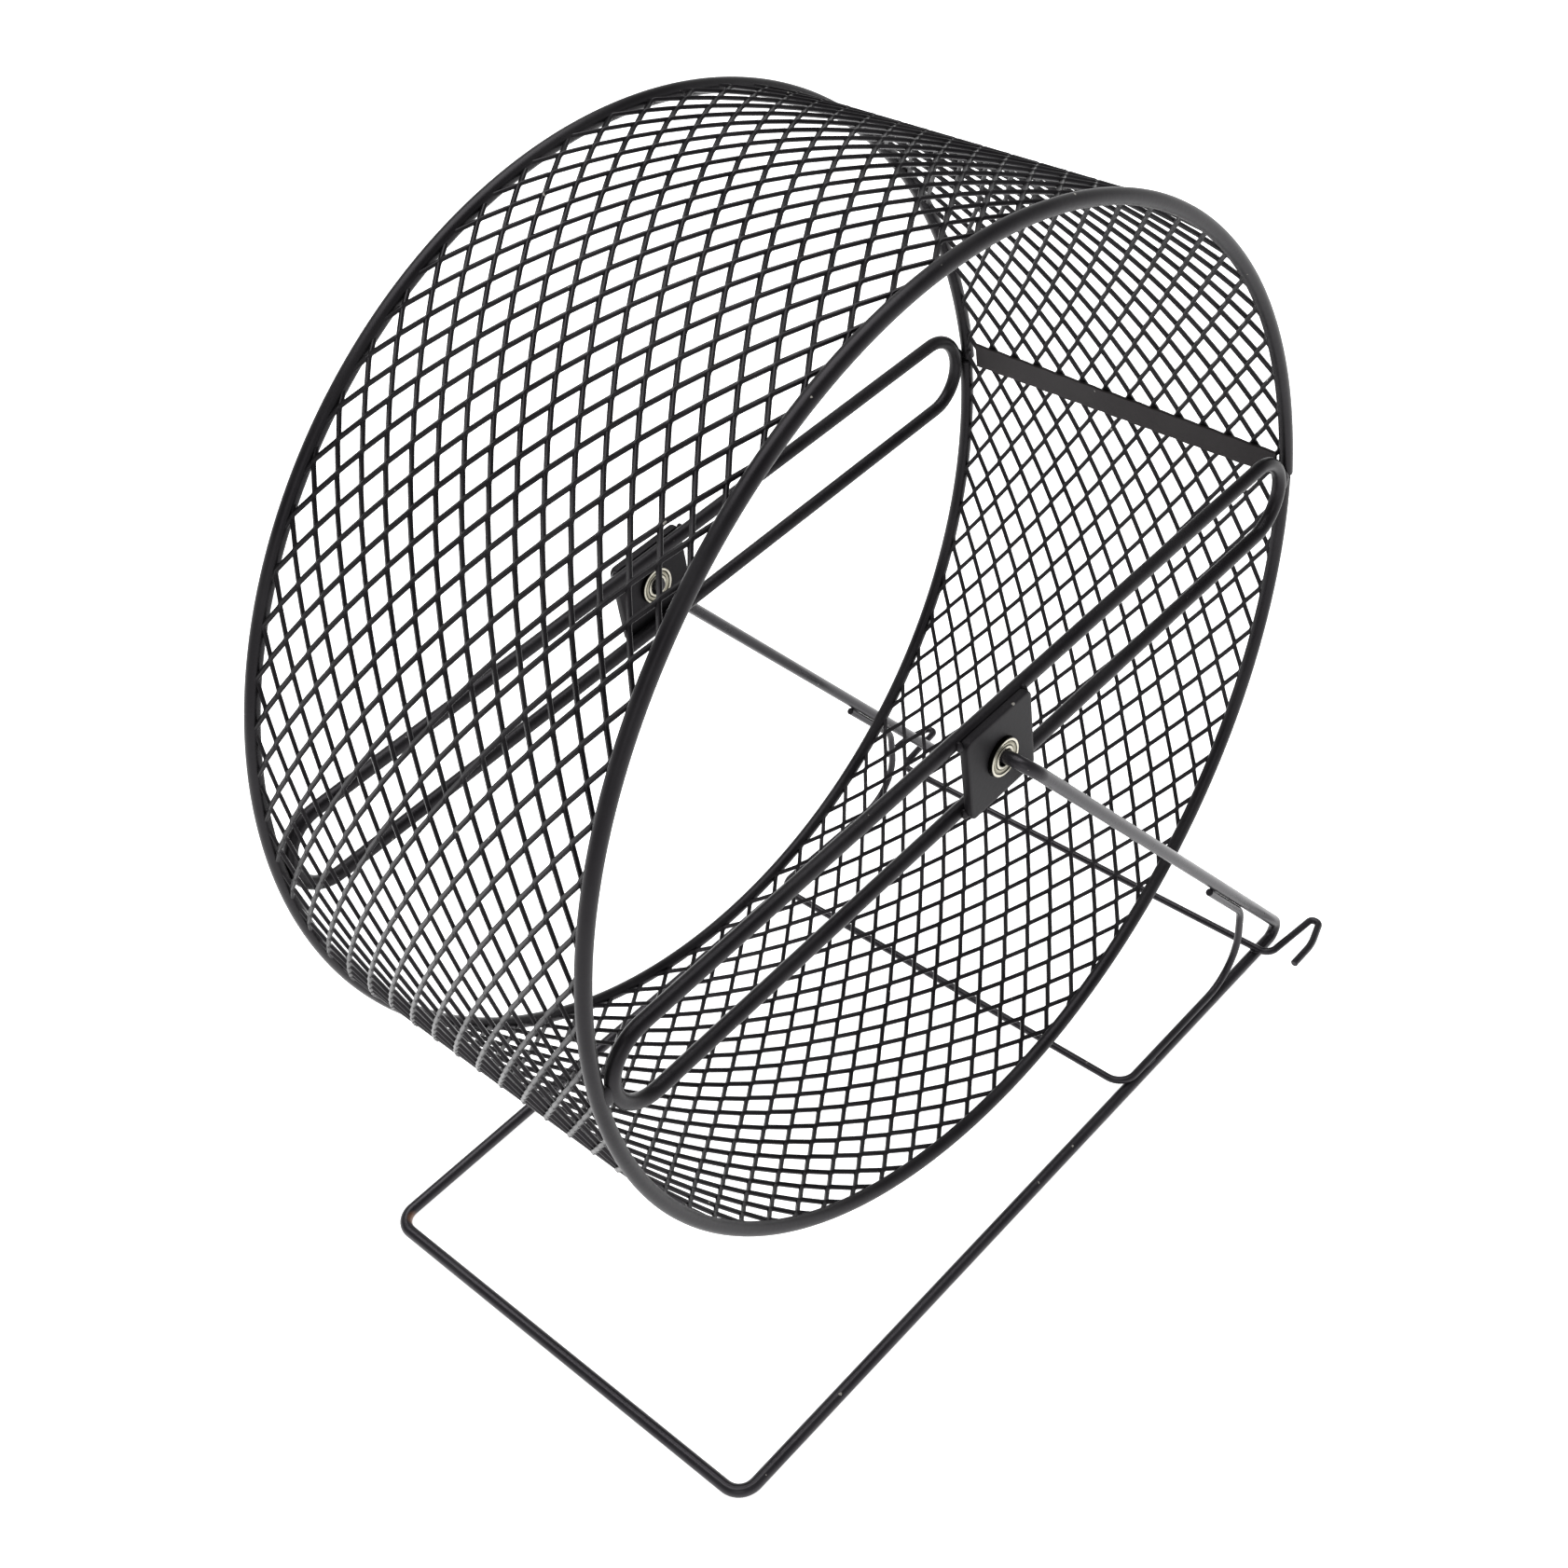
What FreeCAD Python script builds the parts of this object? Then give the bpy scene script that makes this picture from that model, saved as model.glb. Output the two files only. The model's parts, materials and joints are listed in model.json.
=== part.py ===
import FreeCAD
import Part
import math
import os

# Rodent exercise wheel: a drum of expanded metal between two wire hoops, turning on two ball
# bearings that hang on the ends of a bent wire stand.
# Millimetres. X points to the back of the stand, Y along the axle to the far side and Z up.
# The origin is on the floor, under the middle of the axle.

# Wheel: hoops, loops and hub plates
wheel_diameter = 280.0
wheel_width = 119.2
hoop_wire = 4.0
loop_bar_spacing = 23.2
loop_stand_off = 1.0
near_loop_tilt = 1.8
far_loop_tilt = 2.2
plate_side = 26.0
plate_thickness = 2.5
plate_corner = 2.0

# Expanded metal of the drum, and the strip over its seam
diamond_length = 13.5
diamond_height = 8.9
strand_width = 1.5
bond_width = 2.4
sheet_thickness = 1.3
strip_width = 8.0
strip_thickness = 1.0
strip_angle = 3.4

# Ball bearings
bearing_bore = 5.0
bearing_diameter = 11.0
bearing_width = 5.0
ring_wall = 0.85
ball_diameter = 1.588
ball_count = 8
cage_wall = 0.5
cage_rim = 0.2
shield_thickness = 0.3
shield_recess = 0.2

# Stand wire
stand_wire = 3.8
axle_height = 169.6
leg_spacing = 145.8
front_reach = 134.1
back_reach = 132.7
stub_overhang = 1.5
stub_bend = 6.0
back_bend = 4.0
front_bend = 6.0

# Brace wire: tip and knee are lengths down the arm, heel and crossing are X positions on the leg
thin_wire = 2.1
brace_tip = 143.0
brace_knee = 174.5
brace_heel = 100.0
brace_crossing = 42.5
knee_bend = 6.0
heel_bend = 20.0
crossing_bend = 6.0

# Hook wire: X positions of its crossing, hairpin and tips, then the steps outward from the leg
hook_crossing = 116.5
hook_hairpin = 138.3
hook_tip = 117.8
hook_out = 4.7
hook_splay = 3.6
hairpin_width = 4.4
tip_splay = 1.2
hook_bend = 4.0
hairpin_bend = 1.9

# Fits
weld_gap = 0.03
seat_gap = 0.02
race_gap = 0.036
pocket_gap = 0.1
shield_gap = 0.1

# Worked out from the sizes above
Y_AXIS = FreeCAD.Vector(0, 1, 0)
CENTRE = FreeCAD.Vector(0, 0, 0)
hoop_radius = (wheel_diameter - hoop_wire) / 2
hoop_plane = (wheel_width - hoop_wire) / 2
loop_plane = hoop_plane + loop_stand_off
loop_tip = hoop_radius - math.sqrt((hoop_wire + weld_gap) ** 2 - loop_stand_off ** 2)
plate_plane = loop_plane + hoop_wire / 2 + weld_gap + plate_thickness / 2
mesh_width = 2 * hoop_plane - hoop_wire - 2 * weld_gap
fold_radius = hoop_radius + sheet_thickness / 2
panels = 2 * round(2 * math.pi * hoop_radius / diamond_length)
half_rows = round(2 * mesh_width / diamond_height)
half_pitch = mesh_width / half_rows
fold_angle = 2 * math.pi / panels
panel_length = 2 * fold_radius * math.sin(fold_angle / 2)
panel_distance = fold_radius * math.cos(fold_angle / 2)
strand_rise = strand_width * math.hypot(1, half_pitch / panel_length)
strand_slope = (strand_rise + half_pitch - bond_width) / panel_length
notch_reach = (half_pitch - bond_width / 2) / strand_slope
pitch_radius = (bearing_bore + bearing_diameter) / 4
inner_land = bearing_bore / 2 + ring_wall
outer_land = bearing_diameter / 2 - ring_wall
cage_width = ball_diameter + 2 * (pocket_gap + cage_rim)
leg_plane = leg_spacing / 2
leg_height = stand_wire / 2
stub_height = axle_height + (bearing_bore - stand_wire) / 2 - seat_gap
stub_tip = plate_plane - bearing_width / 2 - stub_overhang
wire_step = (stand_wire + thin_wire) / 2 + weld_gap
thin_wire_height = leg_height + wire_step


def unit(vector):
    """Copy of a vector, made one long."""
    return FreeCAD.Vector(vector).normalize()


def bent_wire(corners, bends, diameter):
    """Round wire through corner points, with an arc of each bend's centre-line radius at the inner corners."""
    edges = []
    start = corners[0]
    for before, corner, after, bend in zip(corners, corners[1:], corners[2:], bends):
        arriving = unit(corner - before)
        leaving = unit(after - corner)
        half_turn = arriving.getAngle(leaving) / 2
        setback = bend * math.tan(half_turn)
        depth = bend / math.cos(half_turn) - bend
        arc_start = corner - arriving * setback
        arc_middle = corner + unit(leaving - arriving) * depth
        arc_end = corner + leaving * setback
        edges.append(Part.LineSegment(start, arc_start).toShape())
        edges.append(Part.Arc(arc_start, arc_middle, arc_end).toShape())
        start = arc_end
    edges.append(Part.LineSegment(start, corners[-1]).toShape())
    section = Part.Wire(Part.makeCircle(diameter / 2, corners[0], corners[1] - corners[0]))
    return Part.Wire(edges).makePipeShell([section], True, False)


def both_sides(corners):
    """Corners of the near half of a wire, followed by their mirror images back along the far half."""
    mirrored = [FreeCAD.Vector(corner.x, -corner.y, corner.z) for corner in reversed(corners)]
    return corners + mirrored


def tube(outer_radius, inner_radius, width):
    """Ring about the Y axis, centred on the origin."""
    base = FreeCAD.Vector(0, -width / 2, 0)
    outer = Part.makeCylinder(outer_radius, width, base, Y_AXIS)
    return outer.cut(Part.makeCylinder(inner_radius, width, base, Y_AXIS))


def on_axle(shape, plane, tilt=0.0):
    """Shape made about the origin, turned by the tilt so that its back rises, at a plane along the axle."""
    placed = shape.copy()
    placed.rotate(CENTRE, Y_AXIS, -tilt)
    placed.translate(FreeCAD.Vector(0, plane, axle_height))
    return placed


def save(name, shape):
    """Write one piece to its own file."""
    shape.exportStep(os.path.join("parts", name + ".step"))


def polygon(points):
    """Flat face with the given corners."""
    return Part.Face(Part.makePolygon(points + points[:1]))


def panel_point(panel, along, across, depth):
    """Point on one flat panel of the drum: along from its first fold, across the drum, depth from outside."""
    middle = fold_angle * (panel + 0.5)
    outward = FreeCAD.Vector(math.cos(middle), 0, math.sin(middle))
    forward = FreeCAD.Vector(-math.sin(middle), 0, math.cos(middle))
    return outward * (panel_distance - depth) + forward * (along - panel_length / 2) + Y_AXIS * across


def panel_sides(panel, depth):
    """Corners of a panel's zigzag of strands at a depth: those towards its first fold, then its last fold."""
    slide = depth * math.tan(fold_angle / 2)
    spread = bond_width / 2 + slide * strand_slope
    first = []
    last = []
    for step in range(half_rows + 1):
        across = step * half_pitch - mesh_width / 2
        low = max(across - spread, -mesh_width / 2)
        high = min(across + spread, mesh_width / 2)
        if (step + panel) % 2 == 0:
            first.extend([(slide, low), (slide, high)])
            last.append((panel_length - notch_reach, across))
        else:
            last.extend([(panel_length - slide, low), (panel_length - slide, high)])
            first.append((notch_reach, across))
    return first, last


def panel_faces(panel):
    """Faces of one panel: outside, inside, the flanks of its strands and its two ends."""
    outer = panel_sides(panel, 0.0)
    inner = panel_sides(panel, sheet_thickness)
    loops = []
    for sides, depth in ((outer, 0.0), (inner, sheet_thickness)):
        loops.append([(along, across, depth) for along, across in sides[0] + sides[1][::-1]])
    for top, bottom in zip(outer, inner):
        for step in range(len(top) - 1):
            on_fold = top[step][0] == top[step + 1][0]
            if not on_fold:
                upper = [(along, across, 0.0) for along, across in top[step:step + 2]]
                lower = [(along, across, sheet_thickness) for along, across in bottom[step:step + 2]]
                loops.append(upper + lower[::-1])
    for end in (0, -1):
        upper = [(side[end][0], side[end][1], 0.0) for side in outer]
        lower = [(side[end][0], side[end][1], sheet_thickness) for side in inner]
        loops.append(upper + lower[::-1])
    return [polygon([panel_point(panel, *corner) for corner in loop]) for loop in loops]


def mesh_drum():
    """Sheet of diamonds bent round to a drum, with a fold at every row of bonds."""
    faces = []
    for panel in range(panels):
        faces.extend(panel_faces(panel))
    skin = Part.makeCompound(faces)
    skin.sewShape()
    drum = Part.makeSolid(skin.Shells[0])
    if drum.Volume < 0:
        drum.reverse()
    return drum


def seam_strip():
    """Flat bar lying on the inside of the mesh, turned about the axle to the seam."""
    outside = panel_distance - sheet_thickness - weld_gap
    distance = math.sqrt(outside ** 2 - (strip_width / 2) ** 2)
    corner = FreeCAD.Vector(distance - strip_thickness, -mesh_width / 2, -strip_width / 2)
    return Part.makeBox(strip_thickness, mesh_width, strip_width, corner)


def loop():
    """Closed loop of wire: two straight bars joined by half circles at the tips."""
    half_space = loop_bar_spacing / 2
    half_bar = loop_tip - half_space
    upper_back = FreeCAD.Vector(half_bar, 0, half_space)
    lower_back = FreeCAD.Vector(half_bar, 0, -half_space)
    lower_front = FreeCAD.Vector(-half_bar, 0, -half_space)
    upper_front = FreeCAD.Vector(-half_bar, 0, half_space)
    back_tip = FreeCAD.Vector(loop_tip, 0, 0)
    front_tip = FreeCAD.Vector(-loop_tip, 0, 0)
    edges = [
        Part.LineSegment(upper_front, upper_back).toShape(),
        Part.Arc(upper_back, back_tip, lower_back).toShape(),
        Part.LineSegment(lower_back, lower_front).toShape(),
        Part.Arc(lower_front, front_tip, upper_front).toShape(),
    ]
    section = Part.Wire(Part.makeCircle(hoop_wire / 2, upper_front, upper_back - upper_front))
    return Part.Wire(edges).makePipeShell([section], True, False)


def hub_plate():
    """Square plate with rounded corners and a seat for the bearing."""
    half_side = plate_side / 2
    corner = FreeCAD.Vector(-half_side, -plate_thickness / 2, -half_side)
    plate = Part.makeBox(plate_side, plate_thickness, plate_side, corner)
    corners = [edge for edge in plate.Edges if abs(edge.tangentAt(edge.FirstParameter).y) > 0.5]
    plate = plate.makeFillet(plate_corner, corners)
    seat_radius = bearing_diameter / 2 + seat_gap
    seat_start = FreeCAD.Vector(0, -plate_thickness / 2, 0)
    return plate.cut(Part.makeCylinder(seat_radius, plate_thickness, seat_start, Y_AXIS))


def round_bearing(shape):
    """Copies of a shape at the places of the balls, turned about the bearing's axis."""
    copies = []
    for index in range(ball_count):
        copy = shape.copy()
        copy.rotate(CENTRE, Y_AXIS, 360 * index / ball_count)
        copies.append(copy)
    return Part.makeCompound(copies)


def bearing():
    """Pieces of one ball bearing about the origin, by name."""
    groove = Part.makeTorus(pitch_radius, ball_diameter / 2 + race_gap, CENTRE, Y_AXIS)
    ball = Part.makeSphere(ball_diameter / 2, FreeCAD.Vector(0, 0, pitch_radius))
    pocket = Part.makeCylinder(ball_diameter / 2 + pocket_gap, bearing_diameter)
    cage = tube(pitch_radius + cage_wall / 2, pitch_radius - cage_wall / 2, cage_width)
    shield = tube(outer_land - seat_gap, inner_land + shield_gap, shield_thickness)
    shield_plane = (bearing_width - shield_thickness) / 2 - shield_recess
    pieces = {
        "inner_ring": tube(inner_land, bearing_bore / 2, bearing_width).cut(groove),
        "outer_ring": tube(bearing_diameter / 2, outer_land, bearing_width).cut(groove),
        "balls": round_bearing(ball),
        "cage": cage.cut(round_bearing(pocket)),
        "outer_shield": shield.translated(Y_AXIS * shield_plane),
        "inner_shield": shield.translated(Y_AXIS * -shield_plane),
    }
    return pieces


def stand():
    """Stub, arm, leg and half of the front bar on the near side, and the same on the far side."""
    near = [
        FreeCAD.Vector(0, -stub_tip, stub_height),
        FreeCAD.Vector(0, -leg_plane, stub_height),
        FreeCAD.Vector(back_reach, -leg_plane, leg_height),
        FreeCAD.Vector(-front_reach, -leg_plane, leg_height),
    ]
    bends = [stub_bend, back_bend, front_bend]
    return bent_wire(both_sides(near), bends + bends[::-1], stand_wire)


def brace():
    """Wire from under each arm down to the leg, along the top of the leg and across."""
    shoulder = FreeCAD.Vector(0, -leg_plane, stub_height)
    foot = FreeCAD.Vector(back_reach, -leg_plane, leg_height)
    down_arm = unit(foot - shoulder)
    under_arm = FreeCAD.Vector(down_arm.z, 0, -down_arm.x) * wire_step
    near = [
        shoulder + down_arm * brace_tip + under_arm,
        shoulder + down_arm * brace_knee + under_arm,
        FreeCAD.Vector(brace_heel, -leg_plane, thin_wire_height),
        FreeCAD.Vector(brace_crossing, -leg_plane, thin_wire_height),
    ]
    bends = [knee_bend, heel_bend, crossing_bend]
    return bent_wire(both_sides(near), bends + bends[::-1], thin_wire)


def hooks():
    """Wire across the tops of both legs, with a hairpin hook beyond each leg."""
    run = leg_plane + hook_out
    hairpin = run + hook_splay
    back = hairpin + hairpin_width
    near = [
        FreeCAD.Vector(hook_tip, -back - tip_splay, thin_wire_height),
        FreeCAD.Vector(hook_hairpin, -back, thin_wire_height),
        FreeCAD.Vector(hook_hairpin, -hairpin, thin_wire_height),
        FreeCAD.Vector(hook_crossing, -run, thin_wire_height),
    ]
    bends = [hairpin_bend, hairpin_bend, hook_bend]
    return bent_wire(both_sides(near), bends + bends[::-1], thin_wire)


os.makedirs("parts", exist_ok=True)
save("stand_wire", stand())
save("brace_wire", brace())
save("hook_wire", hooks())
save("mesh_drum", on_axle(mesh_drum(), 0.0))
save("seam_strip", on_axle(seam_strip(), 0.0, strip_angle))
hoop = Part.makeTorus(hoop_radius, hoop_wire / 2, CENTRE, Y_AXIS)
for side, direction, tilt in (("near", -1, near_loop_tilt), ("far", 1, far_loop_tilt)):
    save(side + "_hoop", on_axle(hoop, direction * hoop_plane))
    save(side + "_loop", on_axle(loop(), direction * loop_plane, tilt))
    save(side + "_hub_plate", on_axle(hub_plate(), direction * plate_plane, tilt))
    for piece, shape in bearing().items():
        facing = shape if direction > 0 else shape.mirror(CENTRE, Y_AXIS)
        save(side + "_" + piece, on_axle(facing, direction * plate_plane))
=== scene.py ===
"""Rodent exercise wheel: the visible surfaces of its drum, bearings and wire stand.

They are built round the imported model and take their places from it."""

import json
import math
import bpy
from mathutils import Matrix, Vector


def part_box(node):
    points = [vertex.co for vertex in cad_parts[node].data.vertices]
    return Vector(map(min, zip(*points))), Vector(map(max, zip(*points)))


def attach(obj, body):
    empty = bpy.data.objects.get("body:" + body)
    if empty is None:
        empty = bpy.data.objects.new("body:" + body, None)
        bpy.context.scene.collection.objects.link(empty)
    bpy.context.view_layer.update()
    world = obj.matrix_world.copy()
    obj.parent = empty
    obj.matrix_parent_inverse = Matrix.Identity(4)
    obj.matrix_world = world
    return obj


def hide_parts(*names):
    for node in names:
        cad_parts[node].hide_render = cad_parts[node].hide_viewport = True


bl_info = {
    "name": "Exercise Wheel",
    "version": (1, 0, 0),
    "blender": (4, 5, 0),
    "location": "View3D > Sidebar > Wheel",
    "description": "Builds the drum, bearings and wire stand of a rodent exercise wheel",
    "category": "Add Mesh",
}

import bpy
import numpy as np
from mathutils import Matrix

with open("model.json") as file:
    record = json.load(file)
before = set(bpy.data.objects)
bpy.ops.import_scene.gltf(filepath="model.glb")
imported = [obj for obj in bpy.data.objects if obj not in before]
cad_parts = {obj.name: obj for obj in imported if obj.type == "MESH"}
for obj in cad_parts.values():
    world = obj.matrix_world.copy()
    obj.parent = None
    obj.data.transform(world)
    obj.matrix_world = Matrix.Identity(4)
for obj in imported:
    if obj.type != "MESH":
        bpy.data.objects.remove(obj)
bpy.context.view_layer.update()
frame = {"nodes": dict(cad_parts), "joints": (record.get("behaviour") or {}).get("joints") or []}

MM = 0.001
TURN = 2 * math.pi
X_AXIS = np.array([1.0, 0.0, 0.0])
Y_AXIS = np.array([0.0, 1.0, 0.0])
Z_AXIS = np.array([0.0, 0.0, 1.0])
# No run or bend of the wires points this way, so a section can be set square to it everywhere
SKEW_AXIS = np.array([1.0, 1.0, 1.0]) / math.sqrt(3)
SIDES = {"near": -1.0, "far": 1.0}


def middle(node):
    """Middle of a node's box."""
    low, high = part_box(node)
    return (np.array(low) + np.array(high)) / 2


def extent(node):
    """Size of a node's box along X, Y and Z."""
    low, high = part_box(node)
    return np.array(high) - np.array(low)


AXLE = np.array(next(joint["pos_m"] for joint in frame["joints"] if joint["name"] == "wheel_spin"))
HOOP_WIRE = extent("near_hoop")[1]
HOOP_RADIUS = (extent("near_hoop")[0] - HOOP_WIRE) / 2
HOOP_PLANE = middle("far_hoop")[1]
LOOP_PLANE = middle("far_loop")[1]
LOOP_TIP = (extent("far_loop")[0] - HOOP_WIRE) / 2
PLATE_PLANE = middle("far_hub_plate")[1]
PLATE_THICKNESS = extent("far_hub_plate")[1]
MESH_WIDTH = extent("mesh_drum")[1]
# Room left at a bearing's seat, between two welded wires, and between the strip and the mesh
SEAT_GAP = 0.02 * MM
WELD_GAP = 0.03 * MM
STRIP_GAP = 0.1 * MM
# Blunt edge of sheared sheet and bar
BLUNT_EDGE = 0.2 * MM


def linear(hex_colour):
    """Linear colour of an sRGB hex value: a straight line up to 0.04045 and a power of 2.4 above it."""
    channels = np.array([int(hex_colour[place:place + 2], 16) for place in (1, 3, 5)]) / 255
    curved = ((channels + 0.055) / 1.055) ** 2.4
    return (*np.where(channels <= 0.04045, channels / 12.92, curved), 1.0)


def length(name, description, default):
    """A size that a user may change, in metres."""
    return bpy.props.FloatProperty(name=name, description=description, default=default, unit="LENGTH")


def turn(name, description, degrees):
    """An angle that a user may change, given in degrees."""
    return bpy.props.FloatProperty(
        name=name, description=description, default=math.radians(degrees), unit="ROTATION"
    )


def colour(name, description, hex_colour):
    """A colour that a user may change, given as an sRGB hex value."""
    return bpy.props.FloatVectorProperty(
        name=name, description=description, default=linear(hex_colour), subtype="COLOR", size=4
    )


class WheelDrumSizes(bpy.types.PropertyGroup):
    """Sizes of the expanded metal and of the strip over its seam"""

    diamonds: bpy.props.IntProperty(name="Diamonds", description="Diamonds in one turn", default=64)
    half_rows: bpy.props.IntProperty(name="Half rows", description="Half rows of diamonds across", default=26)
    drift: bpy.props.FloatProperty(
        name="Drift", description="Half rows that the pattern slips across in one turn", default=5.5
    )
    cut_row: bpy.props.FloatProperty(
        name="Cut row", description="Part of a row left at the near edge where the sheet was cut", default=1.6
    )
    cut_angle: turn("Cut angle", "From the seam to the first bond of the pattern", 2.0)
    strand_width: length("Strand width", "Width of one strand", 1.26 * MM)
    strand_thickness: length("Strand thickness", "Thickness of the sheet", 1.0 * MM)
    bond_width: length("Bond width", "Width across two joined strands", 1.38 * MM)
    bond_length: length("Bond length", "Length over which two strands run together", 1.05 * MM)
    strand_lean: turn("Strand lean", "Lean of a strand's face out of the sheet", 25.5)
    strand_lift: length("Strand lift", "How far strands that climb to the far side lie out", 0.22 * MM)
    seam_angle: turn("Seam angle", "Place of the seam above the back of the wheel", 3.4)
    strip_width: length("Strip width", "Width of the bar over the seam", extent("seam_strip")[2])


class WheelHoopSizes(bpy.types.PropertyGroup):
    """Sizes of the hoops, loops and hub plates"""

    joint_angle: turn("Joint angle", "Place of the hoops' joint above the back of the wheel", 1.8)
    joint_step: length("Joint step", "How far one end stands proud at the hoops' joint", 1.1 * MM)
    bar_spacing: length("Bar spacing", "Distance between the two bars of a loop", 23.2 * MM)
    near_tilt: turn("Near tilt", "Rise of the near loop towards the back", 1.8)
    far_tilt: turn("Far tilt", "Rise of the far loop towards the back", 2.2)
    plate_side: length("Plate side", "Side of the square hub plate", 26.0 * MM)
    plate_corner: length("Plate corner", "Radius of the plate's corners", 2.0 * MM)


class WheelBearingSizes(bpy.types.PropertyGroup):
    """Sizes of the ball bearings"""

    bore: length("Bore", "Bore of the inner ring", 5.0 * MM)
    diameter: length("Diameter", "Diameter of the outer ring", extent("far_outer_ring")[0])
    width: length("Width", "Width of the rings", extent("far_outer_ring")[1])
    ring_wall: length("Ring wall", "Wall of the inner and outer rings at their faces", 0.85 * MM)


class WheelStandSizes(bpy.types.PropertyGroup):
    """Sizes of the stand's wires"""

    wire: length("Wire", "Diameter of the stand's wire", 3.8 * MM)
    back_reach: length("Back reach", "From the axle to the back corner of the legs", 132.7 * MM)
    front_reach: length("Front reach", "From the axle to the front bar", 134.1 * MM)
    stub_bend: length("Stub bend", "Radius between stub and arm", 6.0 * MM)
    back_bend: length("Back bend", "Radius between arm and leg", 4.0 * MM)
    front_bend: length("Front bend", "Radius between leg and front bar", 6.0 * MM)
    stub_overhang: length("Stub overhang", "Reach of the stub past the bearing", 1.5 * MM)
    thin_wire: length("Thin wire", "Diameter of the brace and hook wires", 2.4 * MM)
    brace_tip: length("Brace tip", "From the shoulder down the arm to the brace's end", 143.0 * MM)
    brace_knee: length("Brace knee", "From the shoulder down the arm to the brace's knee", 174.5 * MM)
    brace_heel: length("Brace heel", "Where the brace meets the leg", 105.3 * MM)
    brace_crossing: length("Brace crossing", "Where the brace crosses between the legs", 42.5 * MM)
    hook_crossing: length("Hook crossing", "Where the hook wire crosses the legs", 116.5 * MM)
    hook_hairpin: length("Hook hairpin", "Where the hook turns back", 138.3 * MM)
    hook_tip: length("Hook tip", "Where the hook ends", 117.8 * MM)
    hook_belly: length("Hook belly", "Where the hook's outer run bows", 128.5 * MM)
    hook_out: length("Hook out", "From the leg to the hook's inner run", 5.4 * MM)
    hook_splay: length("Hook splay", "How far the inner run leans outward", 2.6 * MM)
    hairpin_width: length("Hairpin width", "Width of the hook's turn", 3.0 * MM)
    belly_splay: length("Belly splay", "How far the outer run bows outward", 3.0 * MM)


class WheelFinishes(bpy.types.PropertyGroup):
    """Colours of the finishes"""

    stand: colour("Stand coat", "Baked black coat of the stand's wires", "#19181b")
    wheel: colour("Wheel coat", "Baked black coat of the mesh, hoops and loops", "#0c0b0d")
    plate: colour("Plate coat", "Baked black coat of the flat plates", "#0d0c0e")
    strip: colour("Strip coat", "Baked black coat of the seam strip, a little brown", "#120e0c")
    worn: colour("Worn coat", "Brown where the coat is rubbed thin", "#6a4a35")
    # The bare steel colour also paints a bright glint, a painted highlight, on the near plate's top edge
    bare: colour("Bare steel", "Specks where the coat is chipped", "#8d8a84")
    ring: colour("Bearing ring", "Ground steel of the rings", "#d3d0c4")
    shield: colour("Bearing shield", "Pressed steel of the shields and cages", "#a9a698")
    ball: colour("Bearing ball", "Polished steel of the balls", "#d0d0d2")
    floor: colour("Floor", "Pale studio floor", "#f6f6f6")


def unit(vectors):
    """Vectors made one long."""
    return vectors / np.linalg.norm(vectors, axis=-1, keepdims=True)


def grid_faces(rows, columns, close_rows=False, close_columns=True):
    """Corner numbers of the quads of a grid of points, whose last row or column may join on to its first."""
    row = np.arange(rows if close_rows else rows - 1)[:, None]
    column = np.arange(columns if close_columns else columns - 1)[None, :]
    next_row = (row + 1) % rows
    next_column = (column + 1) % columns
    corners = [
        row * columns + column,
        row * columns + next_column,
        next_row * columns + next_column,
        next_row * columns + column,
    ]
    return np.stack(corners, -1).reshape(-1, 4)


def carry(section, path, side, up, closed=False):
    """A section carried along a path: path + first * side + second * up. An open path gets flat ends.

    Side, up and the direction of travel are square to each other and right-handed."""
    section = np.broadcast_to(section, (len(path), *section.shape[-2:]))
    points = path[:, None] + section[..., :1] * side[:, None] + section[..., 1:] * up[:, None]
    rows, columns = points.shape[:2]
    faces = grid_faces(rows, columns, closed).tolist()
    if not closed:
        faces.append(list(range(columns))[::-1])
        faces.append(list(range((rows - 1) * columns, rows * columns)))
    return points.reshape(-1, 3), faces


def travel(path, closed=False):
    """Direction of a path at each of its points, from the points before and after."""
    if closed:
        return unit(np.roll(path, -1, axis=0) - np.roll(path, 1, axis=0))
    return unit(np.gradient(path, axis=0))


def circle(sides):
    """Points round a circle of radius one."""
    angle = TURN * np.arange(sides) / sides
    return np.stack([np.cos(angle), np.sin(angle)], -1)


def wire(path, diameter, reference=SKEW_AXIS, closed=False, sides=20):
    """Round wire: a circle carried along a path, with its first spoke turned to a reference direction.

    The ends of an open wire have a small chamfer, where the last rings shrink."""
    ahead = travel(path, closed)
    side = unit(reference - (ahead @ reference)[:, None] * ahead)
    up = np.cross(ahead, side)
    chamfer = diameter / 10
    if not closed:
        head = np.stack([path[0], path[0] + ahead[0] * chamfer])
        tail = np.stack([path[-1] - ahead[-1] * chamfer, path[-1]])
        path = np.vstack([head, path[1:-1], tail])
        side = np.vstack([side[:1], side, side[-1:]])
        up = np.vstack([up[:1], up, up[-1:]])
    radius = np.full(len(path), diameter / 2)
    if not closed:
        radius[[0, -1]] -= chamfer
    section = circle(sides)[None] * radius[:, None, None]
    return carry(section, path, side, up, closed)


def bent_path(corners, bends, points=14):
    """Straight runs between corners, with each inner corner rounded by an arc of its bend's radius.

    The arc's centre lies on the corner's bisector, and its points are centre + radius * (cos, sin)."""
    corners = np.array(corners)
    runs = [corners[:1]]
    for before, corner, after, bend in zip(corners, corners[1:], corners[2:], bends):
        arriving = unit(corner - before)
        leaving = unit(after - corner)
        half_turn = math.acos(np.clip(arriving @ leaving, -1, 1)) / 2
        inward = unit(leaving - arriving)
        onward = unit(leaving + arriving)
        centre = corner + inward * bend / math.cos(half_turn)
        angle = np.linspace(-half_turn, half_turn, points)[:, None]
        runs.append(centre + bend * (np.sin(angle) * onward - np.cos(angle) * inward))
    runs.append(corners[-1:])
    return np.vstack(runs)


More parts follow.
